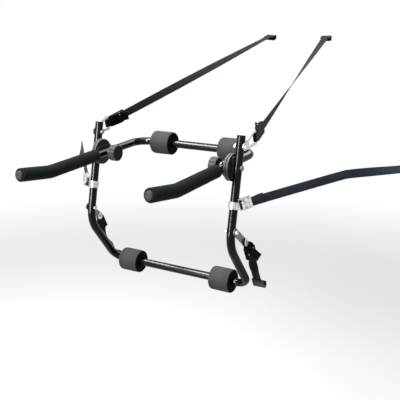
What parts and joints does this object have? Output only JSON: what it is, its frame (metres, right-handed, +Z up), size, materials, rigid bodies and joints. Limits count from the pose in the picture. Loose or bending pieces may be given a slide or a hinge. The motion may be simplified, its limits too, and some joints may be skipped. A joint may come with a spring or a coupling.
{
  "type": "trunk mounted bike rack",
  "caption": "Strap-on rear bicycle rack: two bent tube frames folding on toothed hubs, foam pads and arm sleeves, webbing straps with cam buckles and flat hooks.",
  "frame": {"origin": "middle of the lower cross bar, on its axis", "axes": "+X to the right seen from behind, +Y forward to the panel the rack leans on, +Z up"},
  "size_m": [1.3354, 1.3655, 0.7584],
  "materials": {
    "tube": "gloss black powder coat",
    "cap": "matt",
    "plug": "satin",
    "pad": "closed-cell foam, matt",
    "sleeve": "closed-cell foam, matt",
    "disc": "satin, glass filled",
    "knob": "satin",
    "zinc": "bright zinc plate",
    "buckle": "satin black",
    "lever": "satin black",
    "spring": "bright wire",
    "webbing": "ribbed weave",
    "hook": "black dip coating",
    "hook_brown": "grey-brown dip coating"
  },
  "bodies": {
    "rack": {"lower_frame_tube": "tube", "upright_caps": "cap", "strap_bolts": "zinc", "strap_nuts": "zinc", "hub_bolts": "zinc", "outer_hub_disc_left": "disc", "outer_hub_disc_right": "disc", "lower_pad_left": "pad", "lower_pad_right": "pad", "lower_link_left": "zinc", "lower_link_right": "zinc", "lower_eyelet_left": "zinc", "lower_eyelet_right": "zinc"},
    "arms": {"arm_frame_tube": "tube", "upper_pad_left": "pad", "upper_pad_right": "pad", "arm_sleeve_left": "sleeve", "arm_sleeve_right": "sleeve", "arm_end_plugs": "plug", "inner_hub_disc_left": "disc", "inner_hub_disc_right": "disc", "hub_washers": "zinc"},
    "knob_left_body": {"knob_left": "knob", "knob_insert_left": "zinc"},
    "knob_right_body": {"knob_right": "knob", "knob_insert_right": "zinc"},
    "top_strap_left": {"top_link_left": "zinc", "top_buckle_left": "buckle", "top_pin_left": "spring", "top_webbing_left": "webbing", "top_hook_left": "hook"},
    "top_lever_left_body": {"top_lever_left": "lever"},
    "top_strap_right": {"top_link_right": "zinc", "top_buckle_right": "buckle", "top_pin_right": "spring", "top_webbing_right": "webbing", "top_hook_right": "hook"},
    "top_lever_right_body": {"top_lever_right": "lever"},
    "lower_strap_left": {"lower_buckle_left": "buckle", "lower_pin_left": "spring", "lower_webbing_left": "webbing", "lower_hook_left": "hook_brown"},
    "lower_lever_left_body": {"lower_lever_left": "lever"},
    "lower_strap_right": {"lower_buckle_right": "buckle", "lower_pin_right": "spring", "lower_webbing_right": "webbing", "lower_hook_right": "hook_brown"},
    "lower_lever_right_body": {"lower_lever_right": "lever"},
    "side_strap_left": {"side_fitting_left": "zinc", "side_pin_left": "spring", "side_webbing_left": "webbing", "side_hook_left": "hook"},
    "side_lever_left_body": {"side_lever_left": "zinc"},
    "side_strap_right": {"side_fitting_right": "zinc", "side_pin_right": "spring", "side_webbing_right": "webbing", "side_hook_right": "hook"},
    "side_lever_right_body": {"side_lever_right": "zinc"}
  },
  "joints": [
    {"name": "arm_fold", "type": "hinge", "parent": "rack", "child": "arms", "pos_m": [0, -0.078, 0.37772], "axis": [1, 0, 0], "range_deg": [-105, 30]},
    {"name": "knob_left_spin", "type": "hinge", "parent": "rack", "child": "knob_left_body", "pos_m": [-0.19, -0.078, 0.37772], "axis": [1, 0, 0], "continuous": true},
    {"name": "knob_right_spin", "type": "hinge", "parent": "rack", "child": "knob_right_body", "pos_m": [0.19, -0.078, 0.37772], "axis": [1, 0, 0], "continuous": true},
    {"name": "top_strap_left_swing", "type": "hinge", "parent": "rack", "child": "top_strap_left", "pos_m": [-0.2703, -0.06616, 0.43756], "axis": [1, 0, 0], "range_deg": [-10, 10]},
    {"name": "top_lever_left_press", "type": "hinge", "parent": "top_strap_left", "child": "top_lever_left_body", "pos_m": [-0.25532, 0.0444, 0.47003], "axis": [0, -0.2818, 0.9595], "range_deg": [0, 25], "stiffness_Nm_per_rad": 0.5, "springref_deg": -11.46},
    {"name": "top_strap_right_swing", "type": "hinge", "parent": "rack", "child": "top_strap_right", "pos_m": [0.2703, -0.06616, 0.43756], "axis": [1, 0, 0], "range_deg": [-10, 10]},
    {"name": "top_lever_right_press", "type": "hinge", "parent": "top_strap_right", "child": "top_lever_right_body", "pos_m": [0.25532, 0.0444, 0.47003], "axis": [0, 0.2818, -0.9595], "range_deg": [0, 25], "stiffness_Nm_per_rad": 0.5, "springref_deg": -11.46},
    {"name": "lower_strap_left_swing", "type": "hinge", "parent": "rack", "child": "lower_strap_left", "pos_m": [-0.2741, -0.05872, 0.15542], "axis": [1, 0, 0], "range_deg": [-1, 12]},
    {"name": "lower_lever_left_press", "type": "hinge", "parent": "lower_strap_left", "child": "lower_lever_left_body", "pos_m": [-0.2862, -0.0442, 0.12691], "axis": [0, -0.891, -0.454], "range_deg": [0, 25], "stiffness_Nm_per_rad": 0.5, "springref_deg": -11.46},
    {"name": "lower_strap_right_swing", "type": "hinge", "parent": "rack", "child": "lower_strap_right", "pos_m": [0.2741, -0.05872, 0.15542], "axis": [1, 0, 0], "range_deg": [-1, 12]},
    {"name": "lower_lever_right_press", "type": "hinge", "parent": "lower_strap_right", "child": "lower_lever_right_body", "pos_m": [0.2862, -0.0442, 0.12691], "axis": [0, 0.891, 0.454], "range_deg": [0, 25], "stiffness_Nm_per_rad": 0.5, "springref_deg": -11.46},
    {"name": "side_strap_left_swing", "type": "hinge", "parent": "rack", "child": "side_strap_left", "pos_m": [-0.256, -0.09879, 0.27276], "axis": [0, 0.1942, 0.981], "range_deg": [-10, 10]},
    {"name": "side_lever_left_press", "type": "hinge", "parent": "side_strap_left", "child": "side_lever_left_body", "pos_m": [-0.28763, -0.10051, 0.28221], "axis": [-0.2891, 0.072, -0.9546], "range_deg": [0, 12], "stiffness_Nm_per_rad": 0.5, "springref_deg": -11.46},
    {"name": "side_strap_right_swing", "type": "hinge", "parent": "rack", "child": "side_strap_right", "pos_m": [0.256, -0.09879, 0.27276], "axis": [0, 0.1942, 0.981], "range_deg": [-10, 10]},
    {"name": "side_lever_right_press", "type": "hinge", "parent": "side_strap_right", "child": "side_lever_right_body", "pos_m": [0.28763, -0.10051, 0.28221], "axis": [-0.2891, -0.072, 0.9546], "range_deg": [0, 12], "stiffness_Nm_per_rad": 0.5, "springref_deg": -11.46}
  ]
}
